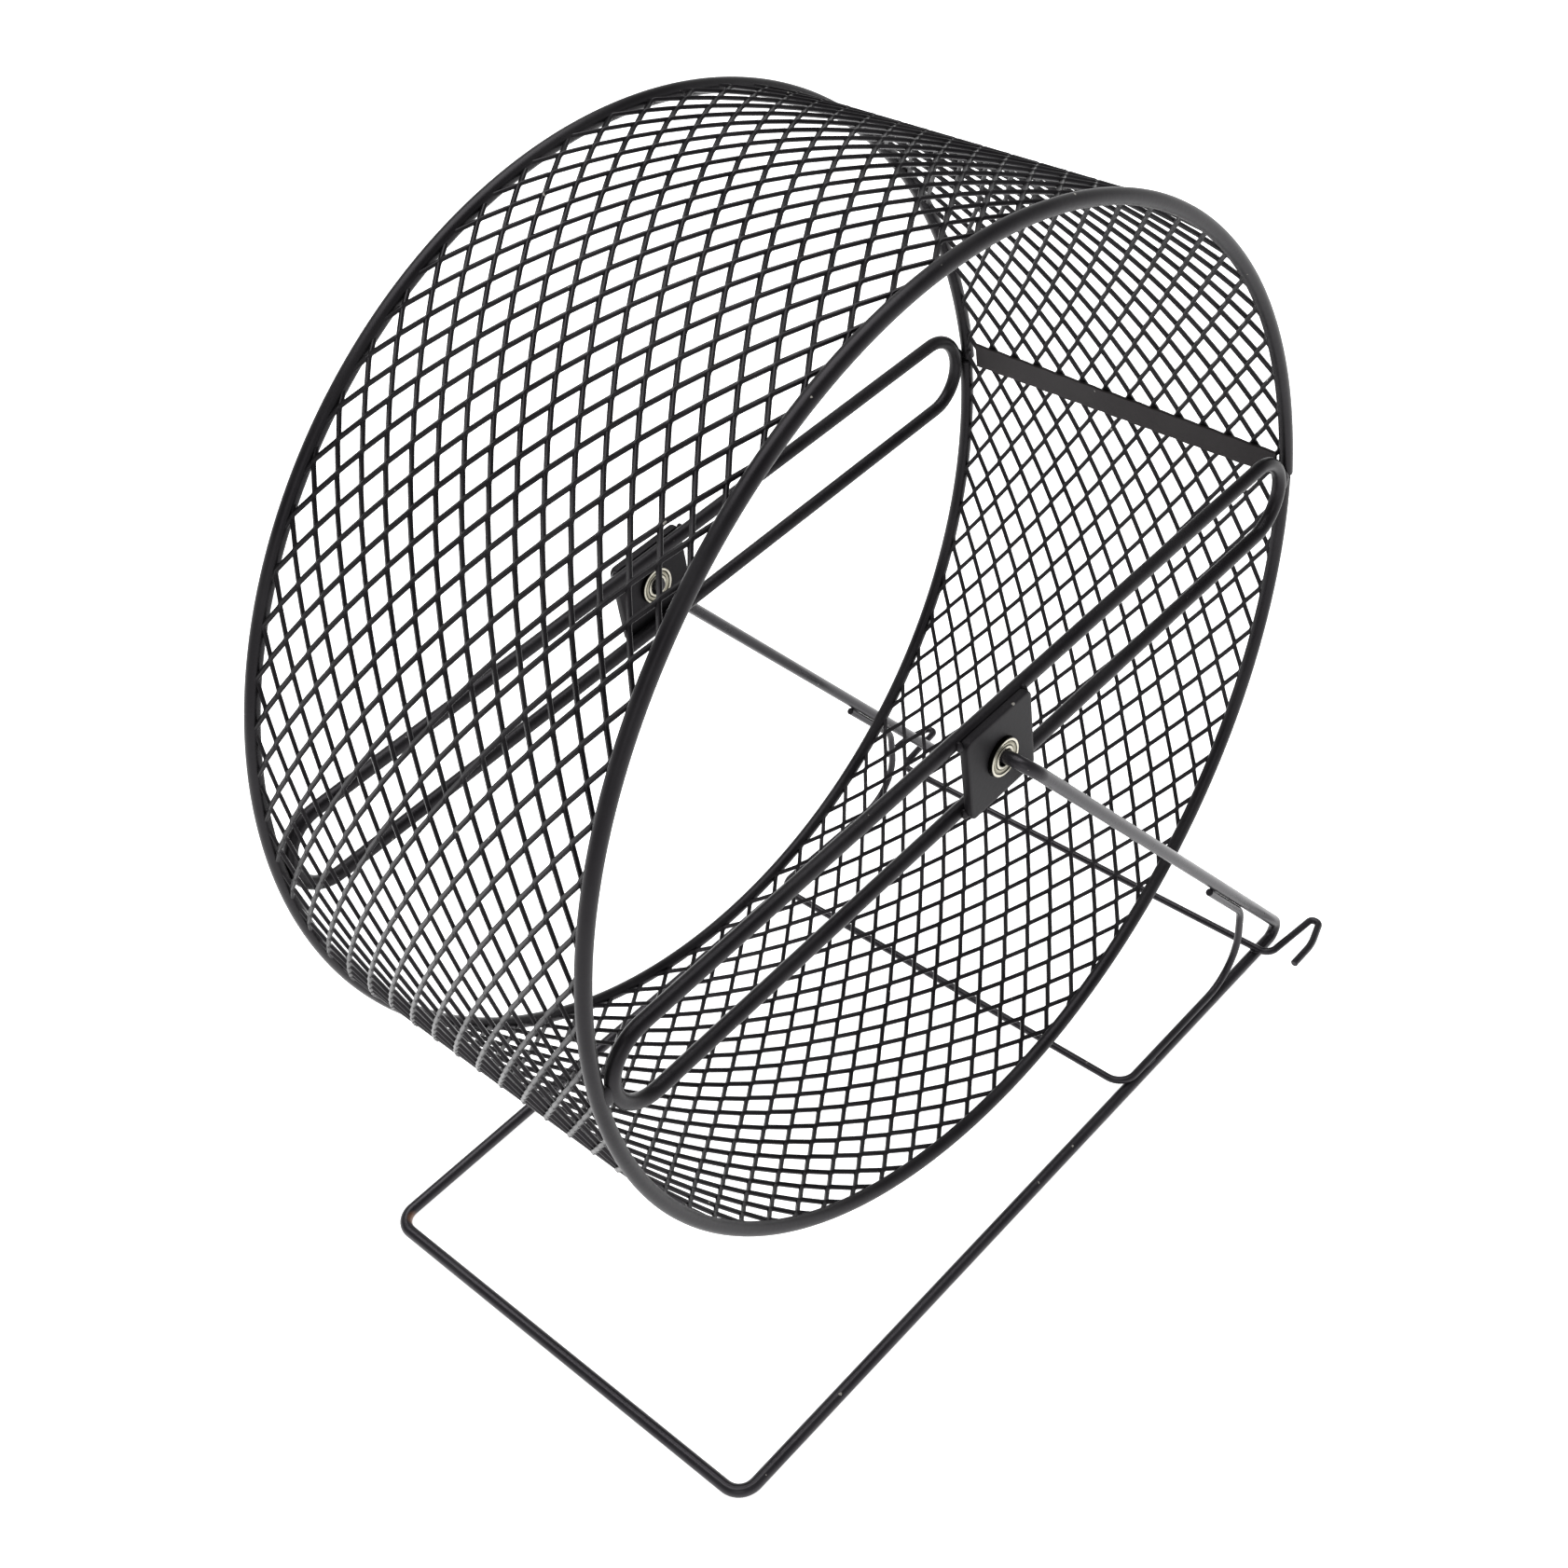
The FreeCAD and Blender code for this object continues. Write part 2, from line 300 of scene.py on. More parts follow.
def both_sides(corners):
    """Near half of a wire's corners, followed by their mirror images back along the far half."""
    corners = np.array(corners)
    return np.vstack([corners, corners[::-1] * np.array([1.0, -1.0, 1.0])])


def lathe(profile, centre, facing, sides=96):
    """Closed profile of (radius, outward) turned about the Y axis.

    Each point is centre + radius * (cos, sin) across the axis, and outward * facing along it."""
    profile = np.array(profile)
    if facing < 0:
        profile = profile[::-1]
    angle = TURN * np.arange(sides)[:, None] / sides
    radius = profile[None, :, 0]
    points = np.stack(
        [
            radius * np.cos(angle),
            np.broadcast_to(profile[None, :, 1] * facing, (sides, len(profile))),
            radius * np.sin(angle),
        ],
        -1,
    )
    faces = grid_faces(sides, len(profile), close_rows=True)
    return (points + centre).reshape(-1, 3), faces.tolist()


def chamfered(inner, outer, low, high, chamfer):
    """Profile of a ring with its four edges chamfered, outward side last."""
    return [
        (inner + chamfer, low),
        (outer - chamfer, low),
        (outer, low + chamfer),
        (outer, high - chamfer),
        (outer - chamfer, high),
        (inner + chamfer, high),
        (inner, high - chamfer),
        (inner, low + chamfer),
    ]


def bead(centre, along, out, size, phase=0.0):
    """Weld bead: an ellipsoid of half lengths along, out and across, swelling a little round itself.

    Each point is centre + cos(latitude) * (cos, sin) spread over out and across, plus sin(latitude) along."""
    along = unit(along)
    out = unit(out - (out @ along) * along)
    across = np.cross(along, out)
    rings = 9
    spokes = 12
    # The first and last rings stop just short of the poles, so that their points stay apart
    pole = 0.499 * math.pi
    latitude = np.linspace(-pole, pole, rings)[:, None]
    longitude = TURN * np.arange(spokes)[None] / spokes
    swell = 1 + 0.08 * np.sin(5 * latitude + phase) + 0.06 * np.sin(3 * longitude + 2 * phase)
    ring = np.cos(latitude) * swell
    section = np.stack([size[1] * ring * np.cos(longitude), size[2] * ring * np.sin(longitude)], -1)
    path = centre + size[0] * np.sin(latitude) * along
    side = np.broadcast_to(out, path.shape)
    up = np.broadcast_to(across, path.shape)
    return carry(section, path, side, up)


def on_axle(points, plane, tilt=0.0):
    """Points made about the origin, turned by a tilt that lifts their back, at a plane along the axle."""
    cos, sin = math.cos(tilt), math.sin(tilt)
    x, y, z = np.asarray(points).T
    return np.stack([x * cos - z * sin, y + plane, x * sin + z * cos], -1) + AXLE


def piece(name, shapes, material, body, slot, *nodes, sharp=40.0):
    """Make one object of several shapes, give it its finish and have it stand for CAD nodes of one body."""
    points = np.vstack([shape[0] for shape in shapes])
    counts = np.cumsum([0] + [len(shape[0]) for shape in shapes])
    faces = []
    for start, shape in zip(counts, shapes):
        faces.extend([[corner + int(start) for corner in face] for face in shape[1]])
    mesh = bpy.data.meshes.new(name)
    mesh.from_pydata(points.tolist(), [], faces)
    mesh.materials.append(material)
    mesh.shade_smooth()
    mesh.set_sharp_from_angle(angle=math.radians(sharp))
    if mesh.validate():
        raise RuntimeError(name + " has faces that cannot be kept")
    made = bpy.data.objects.new(name, mesh)
    bpy.context.scene.collection.objects.link(made)
    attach(made, body)
    if nodes:
        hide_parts(*nodes)
    return made


def add(tree, kind, inputs=None, **settings):
    """Add a node to a tree, set its attributes, and give each input a value or a link."""
    made = tree.nodes.new(kind)
    for name, value in settings.items():
        setattr(made, name, value)
    for socket, value in (inputs or {}).items():
        if isinstance(value, bpy.types.NodeSocket):
            tree.links.new(value, made.inputs[socket])
        else:
            made.inputs[socket].default_value = value
    return made


def finish(name, build, *settings):
    """The material of that name, built the first time that it is asked for."""
    made = bpy.data.materials.get(name)
    if made is None:
        made = bpy.data.materials.new(name)
        made.use_nodes = True
        made.node_tree.nodes.clear()
        build(made.node_tree, *settings)
    return made


def black_coat(tree, base, worn, bare, roughness, gloss):
    """Black epoxy powder, sprayed on steel and baked.

    It is satin, with a fine orange peel, dusty patches, rare chips and one painted glint, a bright highlight
    painted on the near plate's top edge."""
    place = add(tree, "ShaderNodeTexCoord").outputs["Object"]
    # Orange peel of about 1.2 mm, which softens the edge of a highlight
    peel = add(tree, "ShaderNodeTexNoise", {"Vector": place, "Scale": 1 / (1.2 * MM), "Detail": 3.0})
    # Dusty and handled patches of about 25 mm, a little lighter and duller
    patch = add(tree, "ShaderNodeTexNoise", {"Vector": place, "Scale": 1 / (25 * MM), "Detail": 4.0})
    # Chips under a millimetre, drawn as coarse as they need to show
    grit = add(tree, "ShaderNodeTexNoise", {"Vector": place, "Scale": 1 / (2.6 * MM), "Detail": 2.0})
    chip = add(
        tree,
        "ShaderNodeMapRange",
        {"Value": grit.outputs["Fac"], "From Min": 0.775, "From Max": 0.79},
    )
    dust = add(tree, "ShaderNodeMapRange", {"Value": patch.outputs["Fac"], "From Min": 0.4, "From Max": 0.66})
    dust_lift = 0.007
    dusty = tuple(channel + dust_lift for channel in base[:3]) + (1.0,)
    tone = add(
        tree,
        "ShaderNodeMix",
        {"Factor": dust.outputs["Result"], "A": base, "B": dusty},
        data_type="RGBA",
    )
    # The coat is rubbed brown inside the front corner of the far leg
    stand = bpy.context.scene.wheel_stand
    corner = (-stand.front_reach + 3.6 * MM, extent("stand_wire")[1] / 2 - 5.5 * MM, stand.wire / 2)
    reach = add(tree, "ShaderNodeVectorMath", {0: place, 1: corner}, operation="DISTANCE")
    rubbed = add(
        tree,
        "ShaderNodeMapRange",
        {
            "Value": reach.outputs["Value"],
            "From Min": 1.5 * MM,
            "From Max": 3.0 * MM,
            "To Min": 0.85,
            "To Max": 0.0,
        },
    )
    brown = add(
        tree,
        "ShaderNodeMix",
        {"Factor": rubbed.outputs["Result"], "A": tone.outputs["Result"], "B": worn},
        data_type="RGBA",
    )
    # Painted highlight: a bright glint is painted in the bare steel colour on the top edge of the near plate
    painted_glint_spot = tuple(AXLE + np.array([5.6 * MM, -PLATE_PLANE - 1.0 * MM, 13.3 * MM]))
    apart = add(tree, "ShaderNodeVectorMath", {0: place, 1: painted_glint_spot}, operation="DISTANCE")
    painted_glint_mask = add(
        tree,
        "ShaderNodeMapRange",
        {
            "Value": apart.outputs["Value"],
            "From Min": 0.35 * MM,
            "From Max": 0.6 * MM,
            "To Min": 1.0,
            "To Max": 0.0,
        },
    )
    # The real chips and the painted glint both show the bare steel colour
    chips_and_painted_glint = add(
        tree,
        "ShaderNodeMath",
        {0: chip.outputs["Result"], 1: painted_glint_mask.outputs["Result"]},
        operation="MAXIMUM",
    )
    shown = add(
        tree,
        "ShaderNodeMix",
        {"Factor": chips_and_painted_glint.outputs["Value"], "A": brown.outputs["Result"], "B": bare},
        data_type="RGBA",
    )
    unevenness = 0.07
    dullness = add(
        tree,
        "ShaderNodeMapRange",
        {
            "Value": patch.outputs["Fac"],
            "To Min": roughness - unevenness,
            "To Max": roughness + unevenness,
        },
    )
    bump = add(
        tree,
        "ShaderNodeBump",
        {"Height": peel.outputs["Fac"], "Strength": 0.35, "Distance": 0.08 * MM},
    )
    shader = add(
        tree,
        "ShaderNodeBsdfPrincipled",
        {
            "Base Color": shown.outputs["Result"],
            "Roughness": dullness.outputs["Result"],
            "Normal": bump.outputs["Normal"],
            "IOR": 1.5,
            "Specular IOR Level": gloss,
            "Specular Tint": (0.98, 0.93, 1.0, 1.0),
        },
    )
    add(tree, "ShaderNodeOutputMaterial", {"Surface": shader.outputs["BSDF"]})


def ring_steel(tree, base, roughness, pitch):
    """Ground and turned steel: bright, with fine rings about the axle, a thin film of grease and painted
    shade in its grooves.
    """
    place = add(tree, "ShaderNodeTexCoord").outputs["Object"]
    centred = add(tree, "ShaderNodeMapping", {"Vector": place, "Location": tuple(-AXLE)})
    # Tool marks about the axle, drawn as coarse as they need to show
    marks = add(
        tree,
        "ShaderNodeTexWave",
        {"Vector": centred.outputs["Vector"], "Scale": 0.5 / pitch, "Distortion": 0.6, "Detail": 2.0},
        wave_type="RINGS",
        rings_direction="Y",
    )
    film = add(tree, "ShaderNodeTexNoise", {"Vector": place, "Scale": 1 / (1.5 * MM), "Detail": 3.0})
    greasy = tuple(channel * share for channel, share in zip(base[:3], (0.62, 0.6, 0.54))) + (1.0,)
    tone = add(
        tree,
        "ShaderNodeMix",
        {"Factor": film.outputs["Fac"], "A": base, "B": greasy},
        data_type="RGBA",
    )
    # Painted shade: dark bands are painted at the bore, in the grooves beside the shield and round the
    # outside of the bearing, where shade and dark reflections fall
    flat = add(
        tree,
        "ShaderNodeVectorMath",
        {0: centred.outputs["Vector"], 1: (1.0, 0.0, 1.0)},
        operation="MULTIPLY",
    )
    distance = add(tree, "ShaderNodeVectorMath", {0: flat.outputs["Vector"]}, operation="LENGTH")
    # The radii from first to last, in millimetres, are spread over the ramp
    first = 2.0
    last = 6.0
    share = add(
        tree,
        "ShaderNodeMapRange",
        {"Value": distance.outputs["Value"], "From Min": first * MM, "From Max": last * MM},
    )
    painted_groove_shade = add(tree, "ShaderNodeValToRGB", {"Fac": share.outputs["Result"]})
    bands = painted_groove_shade.color_ramp.elements
    edges = (2.55, 2.7, 3.25, 3.36, 3.5, 3.62, 4.4, 4.55, 4.7, 4.8, 5.3, 5.42)
    darkness = (1.0, 0.0, 0.0, 1.0, 1.0, 0.0, 0.0, 1.0, 1.0, 0.0, 0.0, 1.0)
    for radius, dark in zip(edges, darkness):
        band = bands.new((radius - first) / (last - first))
        band.color = (dark, dark, dark, 1.0)
    bands[0].color = (1.0, 1.0, 1.0, 1.0)
    bands[-1].color = (1.0, 1.0, 1.0, 1.0)
    # The painted shade darkens the steel towards a near black
    shown = add(
        tree,
        "ShaderNodeMix",
        {"Factor": painted_groove_shade.outputs["Color"], "A": tone.outputs["Result"], "B": linear("#1d1c19")},
        data_type="RGBA",
    )
    dullness = add(
        tree,
        "ShaderNodeMapRange",
        {"Value": film.outputs["Fac"], "To Min": roughness - 0.08, "To Max": roughness + 0.12},
    )
    bump = add(
        tree,
        "ShaderNodeBump",
        {"Height": marks.outputs["Fac"], "Strength": 0.25, "Distance": 0.02 * MM},
    )
    shader = add(
        tree,
        "ShaderNodeBsdfPrincipled",
        {
            "Base Color": shown.outputs["Result"],
            "Metallic": 1.0,
            "Roughness": dullness.outputs["Result"],
            "Normal": bump.outputs["Normal"],
        },
    )
    add(tree, "ShaderNodeOutputMaterial", {"Surface": shader.outputs["BSDF"]})


def floor_paper(tree, base):
    """Matt white paper of a light table, with a faint tooth, lit from below as well as above."""
    place = add(tree, "ShaderNodeTexCoord").outputs["Object"]
    tooth = add(tree, "ShaderNodeTexNoise", {"Vector": place, "Scale": 1 / (3 * MM)})
    bump = add(
        tree,
        "ShaderNodeBump",
        {"Height": tooth.outputs["Fac"], "Strength": 0.05, "Distance": 0.05 * MM},
    )
    shader = add(
        tree,
        "ShaderNodeBsdfPrincipled",
        {
            "Base Color": base,
            "Roughness": 0.9,
            "Normal": bump.outputs["Normal"],
            "Emission Color": linear("#ffffff"),
            "Emission Strength": 0.9,
        },
    )
    add(tree, "ShaderNodeOutputMaterial", {"Surface": shader.outputs["BSDF"]})


def coat(kind):
    """One of the black coats: on the stand's wires, on the wheel, on the flat plates or on the strip."""
    colours = bpy.context.scene.wheel_finishes
    roughness, gloss = {
        "stand": (0.28, 0.3),
        "wheel": (0.36, 0.2),
        "plate": (0.5, 0.14),
        "strip": (0.55, 0.28),
    }[kind]
    settings = [tuple(colours.path_resolve(key)) for key in (kind, "worn", "bare")]
    return finish("baked_black_powder_coat_" + kind, black_coat, *settings, roughness, gloss)


def steel(kind):
    """One of the bearing steels: ground rings, pressed shields or polished balls."""
    colours = bpy.context.scene.wheel_finishes
    name, roughness, pitch = {
        "ring": ("ground_bearing_steel", 0.3, 0.3 * MM),
        "shield": ("pressed_sheet_steel", 0.38, 0.22 * MM),
        "ball": ("polished_chrome_steel", 0.12, 0.5 * MM),
    }[kind]
    return finish(name, ring_steel, tuple(colours.path_resolve(kind)), roughness, pitch)


def strand_path(sizes, row):
    """One strand of the expanded metal, as points round the drum and the angles that they lie at.

    Its height across the drum is a triangle wave about a line that drifts across. The wave is made a
    little too tall and its peaks are softly cut flat, by half of hypot(wave + 1, w) - hypot(wave - 1, w).
    Near the hoops the height is eased to a stop by edge - w log(1 + exp((edge - height) / w)). A strand
    lies a little further out where it climbs to the far side, and further in where it falls."""
    sign = (-1) ** row
    pitch = MESH_WIDTH / sizes.half_rows
    sweep = (pitch + sizes.strand_width - sizes.bond_width) / 2
    bend_steps = np.radians([0, 9, 21, 159, 171])
    halves = np.arange(2 * sizes.diamonds)[:, None]
    steps = (math.pi * halves + bend_steps[None]).ravel() / sizes.diamonds + sizes.cut_angle
    turned = np.sort(np.concatenate([steps % TURN, [0.0, TURN]]))
    phase = (turned - sizes.cut_angle) * sizes.diamonds
    line = pitch * (row + 0.5 + sizes.cut_row - sizes.half_rows / 2 + sizes.drift * (turned / TURN - 0.5))
    half_period = math.pi * HOOP_RADIUS / sizes.diamonds
    triangle = np.arcsin(np.cos(phase)) / (math.pi / 2) / (1 - sizes.bond_length / half_period)
    blend = 0.12
    zigzag = (np.hypot(triangle + 1, blend) - np.hypot(triangle - 1, blend)) / 2
    height = line + sign * sweep * zigzag
    edge = HOOP_PLANE - 0.5 * MM
    ease = 0.45 * MM
    for direction in (1, -1):
        room = edge - direction * height
        height = direction * (edge - ease * np.logaddexp(0, room / ease))
    inside = np.abs(line) < edge + pitch / 3
    angle = sizes.seam_angle + turned[inside]
    # Two joined strands lean as one, so the one on the far side of a bond stands further out
    step_out = (sizes.bond_width - sizes.strand_width) / 2 * math.tan(sizes.strand_lean)
    # Steepness of the change from climbing to falling at a bond
    steepness = 3
    climb = -sign * np.tanh(steepness * np.sin(phase))
    radius = HOOP_RADIUS + (sizes.strand_lift * climb - sign * step_out * zigzag)[inside]
    path = np.stack([radius * np.cos(angle), height[inside], radius * np.sin(angle)], -1) + AXLE
    return path, angle


def blunt_bar(depth, width):
    """Section of a flat bar, with depth as its first direction and width as its second, and blunt edges."""
    half_depth = depth / 2
    half_width = width / 2
    return np.array(
        [
            (half_depth, BLUNT_EDGE - half_width),
            (half_depth, half_width - BLUNT_EDGE),
            (half_depth - BLUNT_EDGE, half_width),
            (BLUNT_EDGE - half_depth, half_width),
            (-half_depth, half_width - BLUNT_EDGE),
            (-half_depth, BLUNT_EDGE - half_width),
            (BLUNT_EDGE - half_depth, -half_width),
            (half_depth - BLUNT_EDGE, -half_width),
        ]
    )


def strand(sizes, row):
    """Strand of the sheet: a rectangle with blunt edges carried along its path, leaning out of the sheet."""
    path, angle = strand_path(sizes, row)
    if len(path) < 4:
        return None
    ahead = travel(path)
    outward = np.stack([np.cos(angle), np.zeros(len(angle)), np.sin(angle)], -1)
    across = unit(np.cross(ahead, outward))
    outward = np.cross(ahead, across)
    cos, sin = math.cos(sizes.strand_lean), math.sin(sizes.strand_lean)
    side = outward * cos - across * sin
    up = across * cos + outward * sin
    return carry(blunt_bar(sizes.strand_thickness, sizes.strand_width), path, side, up)


class WHEEL_OT_drum(bpy.types.Operator):
    """Expanded metal of the running drum, in a near and a far half"""

    bl_idname = "wheel.drum"
    bl_label = "Drum mesh"

    def execute(self, context):
        sizes = context.scene.wheel_drum
        spare = math.ceil(abs(sizes.drift) + sizes.cut_row)
        rows = range(-spare, sizes.half_rows + spare)
        shapes = [strand(sizes, row) for row in rows]
        half = len(shapes) // 2
        for name, part in (("drum_mesh_near", shapes[:half]), ("drum_mesh_far", shapes[half:])):
            kept = [shape for shape in part if shape]
            piece(name, kept, coat("wheel"), "wheel", "wheel_coat", "mesh_drum", sharp=30.0)
        return {"FINISHED"}


class WHEEL_OT_hoops(bpy.types.Operator):
    """Round wire hoops at the drum's two edges, each with a joint whose ends do not quite meet"""

    bl_idname = "wheel.hoops"
    bl_label = "Hoops"

    def execute(self, context):
        sizes = context.scene.wheel_hoops
        gap = 0.1 * MM
        settle = 20 * MM
        turned = np.linspace(0, TURN - gap / HOOP_RADIUS, 361)
        # One end stands proud of the other and settles back round the hoop
        radius = HOOP_RADIUS + sizes.joint_step * np.exp(-turned * HOOP_RADIUS / settle)
        angle = sizes.joint_angle + turned
        path = np.stack([radius * np.cos(angle), np.zeros(len(angle)), radius * np.sin(angle)], -1)
        for side, facing in SIDES.items():
            shape = wire(on_axle(path, facing * HOOP_PLANE), HOOP_WIRE, Y_AXIS)
            node = side + "_hoop"
            piece(node + "_wire", [shape], coat("wheel"), "wheel", "wheel_coat", node)
        return {"FINISHED"}


class WHEEL_OT_loops(bpy.types.Operator):
    """Closed wire loops across the drum's open sides: two bars joined by half circles"""

    bl_idname = "wheel.loops"
    bl_label = "Loops"

    def execute(self, context):
        sizes = context.scene.wheel_hoops
        half_space = sizes.bar_spacing / 2
        angle = np.linspace(-math.pi / 2, math.pi / 2, 25)
        back = np.stack(
            [
                LOOP_TIP - half_space + half_space * np.cos(angle),
                np.zeros(len(angle)),
                half_space * np.sin(angle),
            ],
            -1,
        )
        path = np.vstack([back, back * np.array([-1.0, 1.0, -1.0])])
        for side, facing in SIDES.items():
            tilt = sizes.path_resolve(side + "_tilt")
            shape = wire(on_axle(path, facing * LOOP_PLANE, tilt), HOOP_WIRE, Y_AXIS, closed=True)
            node = side + "_loop"
            piece(node + "_wire", [shape], coat("wheel"), "wheel", "wheel_coat", node)
        return {"FINISHED"}


def plate_shape(side_length, corner, hole, thickness):
    """Square plate with rounded corners, blunt edges and a round hole, as rings from the hole out and back.

    The outline is a square of corner centres plus corner radius * (cos, sin), and the hole's ring has the
    same directions."""
    # Each quarter is an arc round a corner centre and then a straight run to the next one
    arc_points = 9
    run_points = 17
    bend = np.concatenate([np.linspace(0, math.pi / 2, arc_points), np.full(run_points, math.pi / 2)])
    run = np.concatenate([np.zeros(arc_points), np.arange(1, run_points + 1) / (run_points + 1)])
    angle = np.concatenate([bend + quarter * math.pi / 2 for quarter in range(4)])
    spoke = np.stack([np.cos(angle), np.sin(angle)], -1)
    corners = (side_length / 2 - corner) * np.array([[1, 1], [-1, 1], [-1, -1], [1, -1]])
    onward = np.roll(corners, -1, axis=0) - corners
    centres = (corners[:, None] + run[None, :, None] * onward[:, None]).reshape(-1, 2)
    outline = centres + corner * spoke
    opening = hole * unit(outline)
    blunt = 0.35 * MM
    chamfer = 0.15 * MM
    land = 0.4 * MM
    half = thickness / 2
    rings = [
        (opening, half - chamfer),
        (opening * (1 + chamfer / hole), half),
        (opening * (1 + land / hole), half),
        (outline - 3 * blunt * spoke, half),
        (outline - blunt * spoke, half),
        (outline - 0.3 * blunt * spoke, half - 0.3 * blunt),
        (outline, half - blunt),
        (outline, blunt - half),
        (outline - 0.3 * blunt * spoke, 0.3 * blunt - half),
        (outline - blunt * spoke, -half),
        (outline - 3 * blunt * spoke, -half),
        (opening, -half),
    ]
    points = np.stack(
        [np.stack([ring[:, 0], np.full(len(ring), depth), ring[:, 1]], -1) for ring, depth in rings], 1
    )
    rows, columns = points.shape[:2]
    return points, grid_faces(rows, columns, close_rows=True)


class WHEEL_OT_plates(bpy.types.Operator):
    """Square plates welded on the outer side of the loops, each with a bearing pressed in it"""

    bl_idname = "wheel.plates"
    bl_label = "Hub plates"

    def execute(self, context):
        sizes = context.scene.wheel_hoops
        seat = context.scene.wheel_bearings.diameter / 2 + SEAT_GAP
        points, faces = plate_shape(sizes.plate_side, sizes.plate_corner, seat, PLATE_THICKNESS)
        for side, facing in SIDES.items():
            mirrored = points * np.array([1.0, facing, 1.0])
            shown = faces if facing > 0 else faces[:, ::-1]
            tilt = sizes.path_resolve(side + "_tilt")
            placed = on_axle(mirrored.reshape(-1, 3), facing * PLATE_PLANE, tilt)
            node = side + "_hub_plate"
            piece(node + "_cover", [(placed, shown.tolist())], coat("plate"), "wheel", "plate_coat", node)
        return {"FINISHED"}


class WHEEL_OT_bearings(bpy.types.Operator):
    """Rings and shields of the two ball bearings, and the finish of the balls and cages inside"""

    bl_idname = "wheel.bearings"
    bl_label = "Bearings"

    def execute(self, context):
        sizes = context.scene.wheel_bearings
        half = sizes.width / 2
        inner_land = sizes.bore / 2 + sizes.ring_wall
        outer_land = sizes.diameter / 2 - sizes.ring_wall
        outer_ring = chamfered(outer_land, sizes.diameter / 2, -half, half, 0.18 * MM)
        inner_ring = chamfered(sizes.bore / 2, inner_land, -half, half, 0.15 * MM)
        face = half - 0.2 * MM
        # A pressed shield: flat washer with a raised land and a bead rolled into the outer ring
        shield = [
            (inner_land + 0.1 * MM, face - 0.3 * MM),
            (outer_land - 0.02 * MM, face - 0.3 * MM),
            (outer_land - 0.02 * MM, face - 0.02 * MM),
            (outer_land - 0.1 * MM, face + 0.06 * MM),
            (outer_land - 0.2 * MM, face - 0.02 * MM),
            (outer_land - 0.28 * MM, face - 0.16 * MM),
            (outer_land - 0.42 * MM, face - 0.16 * MM),
            (outer_land - 0.52 * MM, face),
            (inner_land + 0.28 * MM, face),
            (inner_land + 0.16 * MM, face - 0.1 * MM),
            (inner_land + 0.1 * MM, face - 0.18 * MM),
        ]
        for side, facing in SIDES.items():
            centre = AXLE + facing * PLATE_PLANE * Y_AXIS
            parts = [
                ("outer_ring", outer_ring, facing, "ring", "ring_steel", "wheel"),
                ("inner_ring", inner_ring, facing, "ring", "ring_steel", "stand"),
                ("outer_shield", shield, facing, "shield", "shield_steel", "wheel"),
                ("inner_shield", shield, -facing, "shield", "shield_steel", "wheel"),
            ]
            for name, profile, outward, metal, slot, body in parts:
                node = side + "_" + name
                shape = lathe(profile, centre, outward)
                piece(node + "_turned", [shape], steel(metal), body, slot, node, sharp=25.0)
            for name, metal in (("balls", "ball"), ("cage", "shield")):
                shown = frame["nodes"][side + "_" + name]
                shown.data.materials.clear()
                shown.data.materials.append(steel(metal))
        return {"FINISHED"}


class WHEEL_OT_strip(bpy.types.Operator):
    """Flat bar lying inside the mesh over its seam"""

    bl_idname = "wheel.strip"
    bl_label = "Seam strip"

    def execute(self, context):
        sizes = context.scene.wheel_drum
        thickness = 1.0 * MM
        # The bar stops short of the far hoop
        shortfall = 3.5 * MM
        distance = HOOP_RADIUS - sizes.strand_thickness / 2 - thickness / 2 - STRIP_GAP
        along = np.linspace(-MESH_WIDTH / 2, MESH_WIDTH / 2 - shortfall, 101)
        # The edges swell a little where the bar is welded to each row of strands
        weld_pitch = 2 * MESH_WIDTH / sizes.half_rows
        swell = 1 + 0.025 * np.cos(TURN * along / weld_pitch)
        sections = np.repeat(blunt_bar(thickness, sizes.strip_width)[None], len(along), axis=0)
        sections[..., 1] *= swell[:, None]
        path = np.stack([np.full(len(along), distance), along, np.zeros(len(along))], -1)
        side = np.broadcast_to(-X_AXIS, path.shape)
        up = np.broadcast_to(Z_AXIS, path.shape)
        points, faces = carry(sections, path, side, up)
        placed = on_axle(points, 0.0, sizes.seam_angle)
        piece("seam_strip_bar", [(placed, faces)], coat("strip"), "wheel", "wheel_coat", "seam_strip")
        return {"FINISHED"}


def shoulder_height(context):
    """Height of the stubs, which the bearings' bores hang on."""
    bore = context.scene.wheel_bearings.bore
    return AXLE[2] + (bore - context.scene.wheel_stand.wire) / 2 - SEAT_GAP


def leg_plane(context):
    """Distance of the legs from the middle of the axle."""
    return extent("stand_wire")[1] / 2 - context.scene.wheel_stand.wire / 2


class WHEEL_OT_stand(bpy.types.Operator):
    """Bent wire of the stand: stubs, arms, legs and front bar"""

    bl_idname = "wheel.stand"
    bl_label = "Stand wire"

    def execute(self, context):
        sizes = context.scene.wheel_stand
        plane = leg_plane(context)
        height = shoulder_height(context)
        stub = PLATE_PLANE - context.scene.wheel_bearings.width / 2 - sizes.stub_overhang
        near = [
            (0.0, -stub, height),
            (0.0, -plane, height),
            (sizes.back_reach, -plane, sizes.wire / 2),
            (-sizes.front_reach, -plane, sizes.wire / 2),
        ]
        bends = [sizes.stub_bend, sizes.back_bend, sizes.front_bend]
        path = bent_path(both_sides(near), bends + bends[::-1])
        piece("stand_bent_wire", [wire(path, sizes.wire)], coat("stand"), "stand", "stand_coat", "stand_wire")
        return {"FINISHED"}


def thin_height(sizes):
    """Height of the thin wires, which lie on top of the legs."""
    return sizes.wire + sizes.thin_wire / 2 + WELD_GAP


